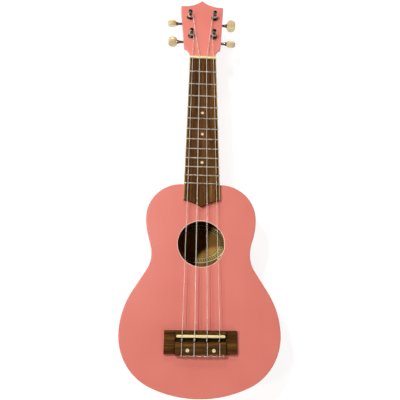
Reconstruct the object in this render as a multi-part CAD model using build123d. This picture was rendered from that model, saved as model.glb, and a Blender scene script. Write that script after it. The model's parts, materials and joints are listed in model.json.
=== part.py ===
from build123d import *
import os
from math import acos, asin, atan2, cos, degrees, hypot, pi, radians, sin, sqrt

# Soprano ukulele, lying on its back: a lacquered figure-eight sound box with a round sound hole, a bound
# fretboard with twelve frets, a flat headstock that leans back, four open-geared tuning machines with side
# knobs, and four nylon strings tied at a wooden bridge.
#
# The frame, in millimetres: +X across the instrument, +Y towards the headstock, +Z up out of the soundboard.
# The origin is the middle of the overall length, on the surface that the flat back rests on.
# Places along the instrument are worked out from s, the distance from the nut's front edge, where the
# strings' scale starts, towards the tail. Places on the headstock are (x, d, h): d from the nut's back edge
# towards the tip, h above the headstock's face.

# ---------------------------------------------------------------- driving dimensions
# The frets follow the scale length. The saddle sits about 2 mm beyond it, because a stopped string is
# stretched a little sharp.
SCALE_LENGTH = 343.0
FRET_COUNT = 12

# sound box
BODY_DEPTH = 62.0
PLATE_THICKNESS = 2.0
RIB_THICKNESS = 2.0
LINING_WIDTH = 5.0
LINING_HEIGHT = 7.0
KERF_SPACING = 8.0
KERF_WIDTH = 1.2
NECK_END_S = 171.0
TAIL_END_S = 408.0
UPPER_BOUT_WIDTH = 128.8
UPPER_BOUT_S = 212.0
WAIST_WIDTH = 113.0
WAIST_S = 256.5
LOWER_BOUT_WIDTH = 176.8
LOWER_BOUT_S = 342.0
SHOULDER_RADIUS = UPPER_BOUT_S - NECK_END_S
UPPER_WAIST_RADIUS = 50.0
LOWER_WAIST_RADIUS = 33.0
LOWER_BOUT_RADIUS = 86.0
TAIL_CORNER_RADIUS = 60.0
SOUND_HOLE_S = 243.0
SOUND_HOLE_RADIUS = 26.8
EDGE_ROUNDING = 1.2
NECK_BLOCK_WIDTH = 44.0
NECK_BLOCK_BACK_S = 190.0
TAIL_BLOCK_WIDTH = 50.0
TAIL_BLOCK_FRONT_S = 395.0
DOWEL_RADIUS = 4.0
DOWEL_HEIGHTS = (46.0, 33.0)
DOWEL_FROM_S = 165.0
DOWEL_TO_S = 186.0
LABEL_S = 231.0
LABEL_WIDTH = 72.0
LABEL_LENGTH = 50.0
LABEL_THICKNESS = 0.3

# neck, fretboard and nut
NUT_THICKNESS = 4.0
NUT_HEIGHT = 7.2
NUT_WIDTH = 34.4
TWELFTH_FRET_WIDTH = 42.4
BOARD_THICKNESS = 5.0
BOARD_CORNER_S = 191.5
BOARD_TIP_S = 199.8
BINDING_WIDTH = 0.9
FRET_HEIGHT = 0.8
FRET_CROWN_WIDTH = 1.4
FRET_TANG_WIDTH = 0.6
FRET_TANG_DEPTH = 1.6
FRET_OVERHANG = 0.4
MARKED_FRETS = (5, 7, 10)
MARKER_RADIUS = 1.8
MARKER_DEPTH = 1.2
NECK_DEPTH_AT_NUT = 13.0
HEEL_DEPTH = 54.0
HEEL_START_S = 123.0
THROAT_END_S = 24.0

# headstock
HEAD_TILT = 11.5
HEAD_LENGTH = 114.0
HEAD_CORNER_D = 101.3
HEAD_CORNER_HALF = 30.0
HEAD_THICKNESS = 13.0
SHOULDER_LOW = (NUT_WIDTH / 2, 11.6)
SHOULDER_HIGH = (24.2, 21.4)
SCOOP_RADIUS = 15.0
SCOOP_CENTRE = (24.9, 13.7, -18.1)

# bridge and saddle
BRIDGE_WIDTH = 78.5
BRIDGE_FRONT_S = 339.0
BRIDGE_BACK_S = 363.6
BRIDGE_WING_HEIGHT = 5.2
BRIDGE_BLOCK_WIDTH = 54.0
BRIDGE_BLOCK_HEIGHT = 8.0
BRIDGE_BLOCK_BACK_S = 364.8
SADDLE_LENGTH = 52.0
SADDLE_THICKNESS = 3.0
SADDLE_TOP = 10.4
SADDLE_SEAT = 4.0
SADDLE_S = 345.2
CHANNEL_FRONT_S = 347.3
CHANNEL_BACK_S = 351.2
CHANNEL_FLOOR = 2.6
TIE_HOLE_RADIUS = 0.9
TIE_HOLE_HEIGHT = 5.6
BRIDGE_DOT_X = 14.0
BRIDGE_DOT_S = 359.6
BRIDGE_DOT_RADIUS = 1.9

# strings: name, side (-1 left, 1 right), place across the nut and saddle, radius, post row
STRINGS = (
    ("g", -1, 1.0, 0.36, "lower"),
    ("c", -1, 1 / 3, 0.50, "upper"),
    ("e", 1, 1 / 3, 0.42, "upper"),
    ("a", 1, 1.0, 0.32, "lower"),
)
STRING_SPAN_AT_NUT = 27.2
STRING_SPAN_AT_SADDLE = 40.0
STRING_CLEARANCE = 0.05
NUT_BEND_S = -0.6
WINDING_TURNS = 3

# tuning machines
POST_PLACES = {"lower": (15.2, 41.0), "upper": (16.9, 77.5)}
POST_RADIUS = 3.0
POST_NECK_RADIUS = 2.4
POST_TOP = 12.0
POST_CLEARANCE = 0.08
STUB_SIDE = 3.2
WINDING_TOP = 6.3
STRING_HOLE_HEIGHT = 7.3
BUSHING_RADIUS = 4.0
BUSHING_FLANGE_RADIUS = 4.8
BUSHING_FLANGE_HEIGHT = 1.3
BUSHING_LENGTH = 7.0
TUNER_PLATE_THICKNESS = 1.0
TUNER_PLATE_WIDTH = 12.0
TUNER_PLATE_NEAR = -10.8
TUNER_PLATE_FAR = 14.4
PLATE_SCREW_PLACES = (-8.2, 11.8)
GEAR_TEETH = 14
GEAR_MODULE = 0.6
GEAR_THICKNESS = 2.4
GEAR_GAP = 1.5
WORM_PITCH_RADIUS = 1.9
WORM_ROOT_RADIUS = 1.25
WORM_TIP_RADIUS = 2.45
WORM_TURNS = 4
LUG_HEIGHT = 5.2
BUTTON_START = 19.2
BUTTON_LENGTH = 12.2
BUTTON_BREADTH = 16.0
BUTTON_CORNER_RADIUS = 5.4
BUTTON_THICKNESS = 7.2
# the angle of each button about its shaft, from lying flat with the headstock's face
BUTTON_ANGLES = {"g": 101.0, "c": -53.0, "e": 24.0, "a": -32.0}

# ---------------------------------------------------------------- worked-out dimensions
HEAD_REACH = HEAD_LENGTH * cos(radians(HEAD_TILT))
NUT_Y = (TAIL_END_S + NUT_THICKNESS + HEAD_REACH) / 2 - NUT_THICKNESS - HEAD_REACH
TOP_Z = BODY_DEPTH
BOARD_Z = TOP_Z + BOARD_THICKNESS
GEAR_RADIUS = GEAR_MODULE * GEAR_TEETH / 2
POST_SHOULDER = -(HEAD_THICKNESS + TUNER_PLATE_THICKNESS + GEAR_GAP)
GEAR_MID_H = POST_SHOULDER - GEAR_THICKNESS / 2
WORM_OFFSET = GEAR_RADIUS + WORM_PITCH_RADIUS
WORM_LEAD = pi * GEAR_MODULE
STRING_AT_NUT_HEIGHT = BOARD_THICKNESS + FRET_HEIGHT + 0.7


def y_at(s):
    """The row's Y at a distance s behind the nut's front edge."""
    return NUT_Y - s


def fret_s(number):
    """How far the numbered fret is from the nut."""
    return SCALE_LENGTH * (1 - 2 ** (-number / 12))


def board_half(s):
    """Half the fretboard's width, bindings included."""
    return (NUT_WIDTH + (TWELFTH_FRET_WIDTH - NUT_WIDTH) * s / fret_s(12)) / 2


# the headstock's own frame: local X, Y and Z are x, d and h
HEAD = Location(
    Plane(
        origin=(0, y_at(-NUT_THICKNESS), TOP_Z),
        x_dir=(1, 0, 0),
        z_dir=(0, sin(radians(HEAD_TILT)), cos(radians(HEAD_TILT))),
    )
)


def head_point(x, d, h):
    """A point given on the headstock, in the row frame."""
    return (HEAD * Pos(x, d, h)).position


# ---------------------------------------------------------------- sound box
def body_face(inset=0.0):
    """The sound box's plan as a face at Z 0, drawn inset inside its real edge. Its half is a chain of
    tangent arcs, so an inset outline has the same centres with longer or shorter radii."""
    upper_half, waist_half, lower_half = UPPER_BOUT_WIDTH / 2, WAIST_WIDTH / 2, LOWER_BOUT_WIDTH / 2
    # upper bout: its radius follows from being tangent to the waist's arc
    narrowing = upper_half - waist_half
    drop = WAIST_S - UPPER_BOUT_S
    upper_radius = (narrowing**2 + drop**2) / (2 * narrowing) - UPPER_WAIST_RADIUS
    upper_turn = degrees(asin(drop / (upper_radius + UPPER_WAIST_RADIUS)))
    # lower waist to lower bout: the straight that is tangent to both arcs
    waist_centre = Vector(waist_half + LOWER_WAIST_RADIUS, y_at(WAIST_S))
    bout_centre = Vector(lower_half - LOWER_BOUT_RADIUS, y_at(LOWER_BOUT_S))
    between = waist_centre - bout_centre
    slope = degrees(atan2(between.Y, between.X)) - degrees(
        acos((LOWER_WAIST_RADIUS + LOWER_BOUT_RADIUS) / between.length)
    )
    normal = Vector(cos(radians(slope)), sin(radians(slope)))
    line_start = waist_centre - normal * (LOWER_WAIST_RADIUS + inset)
    line_end = bout_centre + normal * (LOWER_BOUT_RADIUS - inset)
    # tail: one arc on the centre line, tangent to the tail's corner arc
    corner_centre = Vector(lower_half - TAIL_CORNER_RADIUS, y_at(LOWER_BOUT_S))
    tail_drop = TAIL_END_S - LOWER_BOUT_S
    tail_radius = (corner_centre.X**2 + tail_drop**2 - TAIL_CORNER_RADIUS**2) / (
        2 * (tail_drop - TAIL_CORNER_RADIUS)
    )
    tail_centre = Vector(0, y_at(TAIL_END_S - tail_radius))
    tail_turn = degrees(atan2(tail_centre.Y - corner_centre.Y, corner_centre.X))

    shoulder_centre = Vector(upper_half - SHOULDER_RADIUS, y_at(UPPER_BOUT_S))
    upper_centre = Vector(upper_half - upper_radius, y_at(UPPER_BOUT_S))
    upper_waist_centre = Vector(waist_half + UPPER_WAIST_RADIUS, y_at(WAIST_S))
    neck_y = y_at(NECK_END_S) - inset
    half = [
        Line((0, neck_y), (shoulder_centre.X, neck_y)),
        CenterArc(shoulder_centre, SHOULDER_RADIUS - inset, 90, -90),
        CenterArc(upper_centre, upper_radius - inset, 0, -upper_turn),
        CenterArc(upper_waist_centre, UPPER_WAIST_RADIUS + inset, 180 - upper_turn, upper_turn),
        CenterArc(waist_centre, LOWER_WAIST_RADIUS + inset, 180, slope),
        Line(line_start, line_end),
        CenterArc(bout_centre, LOWER_BOUT_RADIUS - inset, slope, -slope),
        CenterArc(corner_centre, TAIL_CORNER_RADIUS - inset, 0, -tail_turn),
        CenterArc(tail_centre, tail_radius - inset, -tail_turn, tail_turn - 90),
    ]
    other_half = [edge.mirror(Plane.YZ) for edge in half]
    return Face(Wire(half + other_half))


def slab(face, bottom, top):
    """A face at Z 0 made solid between two heights."""
    return Pos(0, 0, bottom) * extrude(face, top - bottom, dir=(0, 0, 1))


def block_at(x, s_from, s_to, z_from, z_to):
    """A box centred across the instrument, x wide."""
    return Pos(0, (y_at(s_from) + y_at(s_to)) / 2, (z_from + z_to) / 2) * Box(
        x, abs(s_to - s_from), z_to - z_from
    )


def rib_inner_half(s, inset):
    """Half the room across the sound box at s, inside an outline drawn inset inside its edge."""
    strip = body_face(inset) & Pos(0, y_at(s)) * Rectangle(2 * LOWER_BOUT_WIDTH, 0.2)
    return strip.bounding_box().size.X / 2


def dowel(z, radius, s_from=DOWEL_FROM_S, s_to=DOWEL_TO_S):
    """A round peg or its hole, along the centre line at height z."""
    return Pos(0, (y_at(s_from) + y_at(s_to)) / 2, z) * Rot(90, 0, 0) * Cylinder(radius, s_to - s_from)


def dowel_holes():
    return [dowel(z, DOWEL_RADIUS + 0.02, DOWEL_FROM_S - 0.5, DOWEL_TO_S + 0.5) for z in DOWEL_HEIGHTS]


def bridge_screw_holes(radius):
    """Holes for the two bridge screws, from under the bridge patch to under the bridge's dots."""
    height = BRIDGE_BLOCK_HEIGHT + 12
    return [
        Pos(x, y_at(BRIDGE_DOT_S), TOP_Z - 10 + height / 2) * Cylinder(radius, height)
        for x in (-BRIDGE_DOT_X, BRIDGE_DOT_X)
    ]


def soundboard():
    plate = slab(body_face(), TOP_Z - PLATE_THICKNESS, TOP_Z)
    outer = plate.edges().group_by(Axis.Z)[-1]
    plate = fillet(outer, EDGE_ROUNDING)
    hole = Pos(0, y_at(SOUND_HOLE_S), TOP_Z - PLATE_THICKNESS / 2) * Cylinder(
        SOUND_HOLE_RADIUS, 2 * PLATE_THICKNESS
    )
    plate -= hole
    rim = [
        edge
        for edge in plate.edges().filter_by(GeomType.CIRCLE)
        if abs(edge.radius - SOUND_HOLE_RADIUS) < 0.01 and edge.center().Z > TOP_Z - 0.1
    ]
    plate = fillet(rim, 0.5)
    return plate - bridge_screw_holes(1.55)


def back_plate():
    plate = slab(body_face(), 0, PLATE_THICKNESS)
    return fillet(plate.edges().group_by(Axis.Z)[0], EDGE_ROUNDING)


def ribs():
    """Left and right ribs, which meet on the centre line at the neck and the tail."""
    ring = slab(body_face() - body_face(RIB_THICKNESS), PLATE_THICKNESS, TOP_Z - PLATE_THICKNESS)
    ring -= dowel_holes()
    left = split(ring, Plane.YZ, keep=Keep.BOTTOM)
    right = split(ring, Plane.YZ, keep=Keep.TOP)
    return left, right


def neck_block():
    block = block_at(
        NECK_BLOCK_WIDTH,
        NECK_END_S + RIB_THICKNESS,
        NECK_BLOCK_BACK_S,
        PLATE_THICKNESS,
        TOP_Z - PLATE_THICKNESS,
    )
    return block - dowel_holes()


def tail_block():
    inside = slab(body_face(RIB_THICKNESS), PLATE_THICKNESS, TOP_Z - PLATE_THICKNESS)
    return inside & block_at(TAIL_BLOCK_WIDTH, TAIL_BLOCK_FRONT_S, TAIL_END_S, 0, TOP_Z)


def lining_ring(bottom):
    """Both halves of a kerfed lining: a strip glued in the corner between rib and plate, sawn part way
    through at even steps so that it bends round the curves."""
    outer, inner = body_face(RIB_THICKNESS), body_face(RIB_THICKNESS + LINING_WIDTH)
    ring = slab(outer - inner, bottom, bottom + LINING_HEIGHT)
    ring -= block_at(NECK_BLOCK_WIDTH + 1, 0, NECK_BLOCK_BACK_S, 0, TOP_Z)
    ring -= block_at(TAIL_BLOCK_WIDTH + 1, TAIL_BLOCK_FRONT_S, TAIL_END_S, 0, TOP_Z)
    inner_wire = inner.outer_wire()
    kerfs = []
    for step in range(int(inner_wire.length / KERF_SPACING)):
        place = (step + 0.5) * KERF_SPACING / inner_wire.length
        point, along = inner_wire.position_at(place), inner_wire.tangent_at(place)
        kerfs.append(
            Pos(point.X, point.Y, bottom + LINING_HEIGHT / 2)
            * Rot(0, 0, degrees(atan2(along.Y, along.X)))
            * Box(KERF_WIDTH, 2 * (LINING_WIDTH - 1.4), LINING_HEIGHT + 1)
        )
    return ring - kerfs


def brace(s, width, height, glued_z, away):
    """A cross brace with bevelled ends, glued to a plate at height glued_z; away is the way it stands."""
    clear_of_lining = RIB_THICKNESS + LINING_WIDTH + 0.3
    half = min(rib_inner_half(s + side * width / 2, clear_of_lining) for side in (-1, 1)) - 0.5
    bevel = 14.0
    tip = 0.35 * height
    profile = Polyline(
        (-half, 0),
        (half, 0),
        (half, away * tip),
        (half - bevel, away * height),
        (-half + bevel, away * height),
        (-half, away * tip),
        close=True,
    )
    section = Plane(origin=(0, y_at(s) + width / 2, glued_z), x_dir=(1, 0, 0), z_dir=(0, -1, 0))
    return extrude(section * make_face(profile), width)


def bridge_patch():
    patch = block_at(88, 334, 369, TOP_Z - 2 * PLATE_THICKNESS, TOP_Z - PLATE_THICKNESS)
    patch = fillet(patch.edges().filter_by(Axis.Z), 4)
    return patch - bridge_screw_holes(1.55)


def paper_label():
    oval = Pos(0, y_at(LABEL_S)) * Ellipse(LABEL_WIDTH / 2, LABEL_LENGTH / 2)
    return slab(oval, PLATE_THICKNESS, PLATE_THICKNESS + LABEL_THICKNESS)


# ---------------------------------------------------------------- neck, fretboard and nut
def neck_depth(s):
    """The neck's depth: a little deeper towards the body, then quickly deeper into the heel."""
    shaft = NECK_DEPTH_AT_NUT + 0.018 * s
    along_heel = max(0, (s - HEEL_START_S - 12) / (NECK_END_S - HEEL_START_S - 12))
    return shaft + (HEEL_DEPTH - shaft) * along_heel**2.6


def neck_section(s, flat):
    """A cross-section of the neck: a flat top over a half ellipse, with short flats at its sides and
    bottom, each the given share of the depth and of the width."""
    plane = Plane(origin=(0, y_at(s), TOP_Z), x_dir=(1, 0, 0), z_dir=(0, -1, 0))
    return section_on(plane, 2 * board_half(s), neck_depth(s), flat, flat)


def section_on(plane, width, depth, side_flat, bottom_flat):
    half, straight, floor = width / 2, depth * side_flat, width / 2 * bottom_flat
    corner_x, corner_z = half - floor, depth - straight
    outline = Wire(
        [
            Line((-half, 0), (half, 0)),
            Line((half, 0), (half, -straight)),
            EllipticalCenterArc((floor, -straight), corner_x, corner_z, 0, arc_size=-90),
            Line((floor, -depth), (-floor, -depth)),
            EllipticalCenterArc((-floor, -straight), corner_x, corner_z, 270, arc_size=-90),
            Line((-half, -straight), (-half, 0)),
        ]
    )
    return plane * Face(outline)


def neck():
    """The neck's shaft, which meets the headstock under the nut and deepens into a heel at the body."""
    head_end = Plane(
        origin=head_point(0, 0, 0),
        x_dir=(1, 0, 0),
        z_dir=(0, -cos(radians(HEAD_TILT)), sin(radians(HEAD_TILT))),
    )
    throat = [
        section_on(head_end, NUT_WIDTH, HEAD_THICKNESS, 0.5, 0.7),
        neck_section(10, 0.22),
        neck_section(THROAT_END_S, 0.06),
    ]
    shaft = [neck_section(THROAT_END_S, 0.06), neck_section(HEEL_START_S, 0.06)]
    steps = 6
    heel = [
        neck_section(HEEL_START_S + (NECK_END_S - HEEL_START_S) * step / steps, 0.06)
        for step in range(steps + 1)
    ]
    return loft(throat) + loft(shaft, ruled=True) + loft(heel) - dowel_holes()


def fretboard_outline(inset):
    """The fretboard's plan, with its pointed end: two hollow curves that meet on the centre line."""
    corner = board_half(BOARD_CORNER_S) - inset
    nut_half = board_half(0) - inset
    tip, edge_y = y_at(BOARD_TIP_S), y_at(BOARD_CORNER_S)
    hollow = 1.3
    right = [
        Line((nut_half, y_at(0)), (corner, edge_y)),
        ThreePointArc((corner, edge_y), (corner * 0.52, (edge_y + tip) / 2 + hollow), (0, tip)),
    ]
    left = [edge.mirror(Plane.YZ) for edge in right]
    return Face(Wire(right + left + [Line((-nut_half, y_at(0)), (nut_half, y_at(0)))]))


def marker_places():
    return [(0, y_at((fret_s(n) + fret_s(n - 1)) / 2)) for n in MARKED_FRETS]


def fretboard():
    board = slab(fretboard_outline(BINDING_WIDTH), TOP_Z, BOARD_Z)
    half = FRET_TANG_WIDTH / 2
    places = [fret_s(number) for number in range(1, FRET_COUNT + 1)]
    slots = [block_at(60, s - half, s + half, BOARD_Z - FRET_TANG_DEPTH - 0.2, BOARD_Z + 1) for s in places]
    pockets = [
        Pos(x, y, BOARD_Z - MARKER_DEPTH / 2 + 0.5) * Cylinder(MARKER_RADIUS, MARKER_DEPTH + 1)
        for x, y in marker_places()
    ]
    return board - slots - pockets


def fretboard_bindings():
    """A plastic strip down each long side of the fretboard."""
    whole = slab(fretboard_outline(0), TOP_Z, BOARD_Z) - slab(fretboard_outline(BINDING_WIDTH), 0, 2 * TOP_Z)
    return whole & block_at(100, -1, BOARD_CORNER_S - 0.2, 0, 2 * TOP_Z)


def fret(number):
    """A fret wire: a low domed crown across the board and a tang in its slot."""
    s = fret_s(number)
    crown_half = board_half(s) + FRET_OVERHANG
    tang_half = board_half(s) - BINDING_WIDTH - 0.2
    radius = (FRET_CROWN_WIDTH**2 / 4 + FRET_HEIGHT**2) / (2 * FRET_HEIGHT)
    section = Plane(origin=(-crown_half, y_at(s), BOARD_Z), x_dir=(0, 1, 0), z_dir=(1, 0, 0))
    dome = Pos(0, FRET_HEIGHT - radius) * Circle(radius) & Pos(0, 1) * Rectangle(4, 2)
    crown = extrude(section * dome, 2 * crown_half)
    tang = block_at(
        2 * tang_half,
        s - FRET_TANG_WIDTH / 2 + 0.02,
        s + FRET_TANG_WIDTH / 2 - 0.02,
        BOARD_Z - FRET_TANG_DEPTH,
        BOARD_Z + 0.1,
    )
    return crown + tang


def fret_markers():
    return [
        Pos(x, y, BOARD_Z - MARKER_DEPTH / 2) * Cylinder(MARKER_RADIUS - 0.02, MARKER_DEPTH)
        for x, y in marker_places()
    ]


# ---------------------------------------------------------------- headstock
def headstock():
    """A flat board that widens from two shoulders towards its crowned tip, where two hollow curves rise
    to a point. The back of each shoulder is scooped away, as a carver thins it into the neck."""
    corner = (HEAD_CORNER_HALF, HEAD_CORNER_D)
    right = FilletPolyline((NUT_WIDTH / 2, 0), SHOULDER_LOW, SHOULDER_HIGH, corner, radius=4)
    crown = ThreePointArc(corner, (13.5, 103.9), (0, HEAD_LENGTH))
    base = Line((-NUT_WIDTH / 2, 0), (NUT_WIDTH / 2, 0))
    edges = [*right.edges(), crown]
    edges += [edge.mirror(Plane.YZ) for edge in edges]
    board = extrude(Face(Wire(edges + [base])), -HEAD_THICKNESS)
    corners = [edge for edge in board.edges().filter_by(Axis.Z) if edge.center().Y > HEAD_CORNER_D - 1]
    board = fillet(corners, 1.2)
    rims = [
        edge
        for edge in board.edges().group_by(Axis.Z)[0] + board.edges().group_by(Axis.Z)[-1]
        if edge.center().Y > 1
    ]
    board = fillet(rims, 0.8)
    scoop = Pos(SCOOP_CENTRE) * Sphere(SCOOP_RADIUS)
    board = board - scoop - scoop.mirror(Plane.YZ)
    for side_sign, (x, d) in [(sign, place) for sign in (-1, 1) for place in POST_PLACES.values()]:
        bore = Pos(side_sign * x, d) * Cylinder(BUSHING_RADIUS + 0.05, 4 * HEAD_THICKNESS)
        pilot = Pos(side_sign * x, d, -HEAD_THICKNESS) * Cylinder(1.05, 17)
        board = board - bore - [Pos(0, place) * pilot for place in PLATE_SCREW_PLACES]
    return HEAD * board


# ---------------------------------------------------------------- tuning machines
# Each part is drawn for a machine on the right, about its post: local X across, Y towards the tip and
# Z out of the headstock's face. placed() puts it on the headstock, mirrored for the left side.
def placed(part, side, row):
    x, d = POST_PLACES[row]
    right = HEAD * Pos(x, d, 0) * part
    return right if side > 0 else right.mirror(Plane.YZ)


def post_bushing():
    """A sleeve pressed in from the face, with a rounded flange."""
    sleeve = Pos(0, 0, -BUSHING_LENGTH / 2) * Cylinder(BUSHING_RADIUS, BUSHING_LENGTH)
    flange = Pos(0, 0, BUSHING_FLANGE_HEIGHT / 2) * Cylinder(BUSHING_FLANGE_RADIUS, BUSHING_FLANGE_HEIGHT)
    flange = fillet(flange.edges().group_by(Axis.Z)[-1], 0.8)
    bore = Cylinder(POST_RADIUS + POST_CLEARANCE, 40)
    return sleeve + flange - bore


def post():
    """The string post: a shaft with a narrower waist for the winding, a cross hole for the string's end,
    a domed top, and a square stub for the gear."""
    profile = [
        Line((0, POST_SHOULDER), (POST_RADIUS, POST_SHOULDER)),
        Line((POST_RADIUS, POST_SHOULDER), (POST_RADIUS, 1.8)),
        Line((POST_RADIUS, 1.8), (POST_NECK_RADIUS, 2.6)),
        Line((POST_NECK_RADIUS, 2.6), (POST_NECK_RADIUS, 8.6)),
        Line((POST_NECK_RADIUS, 8.6), (POST_RADIUS, 9.6)),
        Line((POST_RADIUS, 9.6), (POST_RADIUS, POST_TOP - 1.2)),
        CenterArc((POST_RADIUS - 1.2, POST_TOP - 1.2), 1.2, 0, 90),
        Line((POST_RADIUS - 1.2, POST_TOP), (0, POST_TOP)),
        Line((0, POST_TOP), (0, POST_SHOULDER)),
    ]
    shaft = revolve(Plane.XZ * Face(Wire(profile)), Axis.Z)
    stub = Pos(0, 0, POST_SHOULDER - GEAR_THICKNESS / 2) * Box(STUB_SIDE, STUB_SIDE, GEAR_THICKNESS)
    screw_hole = Pos(0, 0, POST_SHOULDER - GEAR_THICKNESS) * Cylinder(0.85, 9)
    string_hole = Pos(0, 0, STRING_HOLE_HEIGHT) * Rot(90, 0, 0) * Cylinder(0.75, 10)
    return shaft + stub - screw_hole - string_hole


def gear():
    """The post's gear, with a gap between two teeth facing the worm."""
    step = 360 / GEAR_TEETH
    root, tip = GEAR_RADIUS - 0.75, GEAR_RADIUS + 0.5
    root_half, tip_half = 0.50, 0.20
    points = []
    for tooth in range(GEAR_TEETH):
        middle = radians(90 + (tooth + 0.5) * step)
        for radius, half in ((root, root_half), (tip, tip_half), (tip, -tip_half), (root, -root_half)):
            angle = middle - half / radius
            points.append((radius * cos(angle), radius * sin(angle)))
    wheel = extrude(make_face(Polyline(*points, close=True)), GEAR_THICKNESS)
    wheel = Pos(0, 0, GEAR_MID_H - GEAR_THICKNESS / 2) * wheel
    return wheel - Pos(0, 0, GEAR_MID_H) * Box(STUB_SIDE, STUB_SIDE, 2 * GEAR_THICKNESS)


def gear_screw():
    """The screw that holds the gear on its post, with a cross slot."""
    top = GEAR_MID_H - GEAR_THICKNESS / 2
    head = Pos(0, 0, top - 0.6) * Cylinder(2.3, 1.2)
    head = fillet(head.edges().group_by(Axis.Z)[0], 0.5)
    shank = Pos(0, 0, top + 1.9) * Cylinder(0.8, 4)
    slots = [Pos(0, 0, top - 1.2) * Rot(0, 0, turn) * Box(3.0, 0.5, 1.0) for turn in (0, 90)]
    return head + shank - slots


def worm_shaft():
    """The knob's shaft with its worm thread, between two thrust collars."""
    along = Plane(origin=(0, WORM_OFFSET, GEAR_MID_H), x_dir=(0, -1, 0), z_dir=(1, 0, 0))
    lug_gap = TUNER_PLATE_WIDTH / 2 - TUNER_PLATE_THICKNESS
    thread_half = WORM_TURNS * WORM_LEAD / 2
    path = Pos(0, 0, -thread_half) * Helix(WORM_LEAD, 2 * thread_half, WORM_ROOT_RADIUS)
    flank = Plane(origin=path @ 0, x_dir=(1, 0, 0), z_dir=path % 0)
    rise = WORM_TIP_RADIUS - WORM_ROOT_RADIUS
    tooth = Polyline((-0.15, -0.48), (rise, -0.20), (rise, 0.20), (-0.15, 0.48), close=True)
    thread = sweep(flank * make_face(tooth), path, is_frenet=True)
    start, end = -TUNER_PLATE_WIDTH / 2 - 1.0, BUTTON_START + 8.0
    core = Pos(0, 0, (start + end) / 2) * Cylinder(WORM_ROOT_RADIUS, end - start)
    collar_length = lug_gap - thread_half - 0.3
    collars = [
        Pos(0, 0, side * (lug_gap - 0.1 - collar_length / 2)) * Cylinder(2.0, collar_length)
        for side in (-1, 1)
    ]
    return along * (core + thread + collars)


def button(angle):
    """The knob: a blunt flat oval with soft edges and a tapered collar round the shaft."""
    outline = RectangleRounded(BUTTON_LENGTH, BUTTON_BREADTH, BUTTON_CORNER_RADIUS)
    oval = extrude(outline, BUTTON_THICKNESS / 2, both=True)
    oval = fillet(oval.edges().filter_by(Axis.Z, reverse=True), 2.0)
    oval = Pos(BUTTON_START + BUTTON_LENGTH / 2, 0, 0) * oval
    collar_length = 5.0
    collar = Pos(BUTTON_START + collar_length / 2 - 2.4, 0, 0) * Rot(0, 90, 0) * Cone(1.9, 2.7, collar_length)
    bore = Pos(BUTTON_START + 2.5, 0, 0) * Rot(0, 90, 0) * Cylinder(WORM_ROOT_RADIUS, 11)
    return Pos(0, WORM_OFFSET, GEAR_MID_H) * Rot(angle, 0, 0) * (oval + collar - bore)


def tuner_plate():
    """The machine's base plate, with two lugs bent back from its long edges to carry the worm."""
    length = TUNER_PLATE_FAR - TUNER_PLATE_NEAR
    middle = (TUNER_PLATE_FAR + TUNER_PLATE_NEAR) / 2
    sheet = Pos(0, middle, -HEAD_THICKNESS - TUNER_PLATE_THICKNESS / 2) * Box(
        TUNER_PLATE_WIDTH, length, TUNER_PLATE_THICKNESS
    )
    sheet = fillet(sheet.edges().filter_by(Axis.Z), 3.5)
    lug_x = (TUNER_PLATE_WIDTH - TUNER_PLATE_THICKNESS) / 2
    lug_top = -HEAD_THICKNESS - TUNER_PLATE_THICKNESS
    for side in (-1, 1):
        lug = Pos(side * lug_x, WORM_OFFSET, lug_top - LUG_HEIGHT / 2 + 0.5) * Box(
            TUNER_PLATE_THICKNESS, 5.4, LUG_HEIGHT + 1
        )
        ends = lug.edges().filter_by(Axis.X).group_by(Axis.Z)[0]
        sheet += fillet(ends, 2.0)
    worm_axis = Pos(0, WORM_OFFSET, GEAR_MID_H) * Rot(0, 90, 0)
    worm_bore = worm_axis * Cylinder(WORM_ROOT_RADIUS + POST_CLEARANCE, 40)
    post_hole = Cylinder(POST_RADIUS + POST_CLEARANCE, 60)
    screw_holes = [Pos(0, place, 0) * Cylinder(1.1, 60) for place in PLATE_SCREW_PLACES]
    return sheet - worm_bore - post_hole - screw_holes


def plate_screw(place):
    """A small round-headed wood screw with a cross slot, driven in from the back."""
    seat = -HEAD_THICKNESS - TUNER_PLATE_THICKNESS
    head = Pos(0, place, seat - 0.55) * Cylinder(2.0, 1.1)
    head = fillet(head.edges().group_by(Axis.Z)[0], 0.7)
    shank = Pos(0, place, seat + 3.9) * Cylinder(1.0, 8)
    point = Pos(0, place, seat + 7.9 + 0.25) * Cone(1.0, 0.6, 0.5)
    slots = [Pos(0, place, seat - 1.1) * Rot(0, 0, turn) * Box(2.6, 0.45, 1.0) for turn in (0, 90)]
    return head + shank + point - slots


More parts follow.
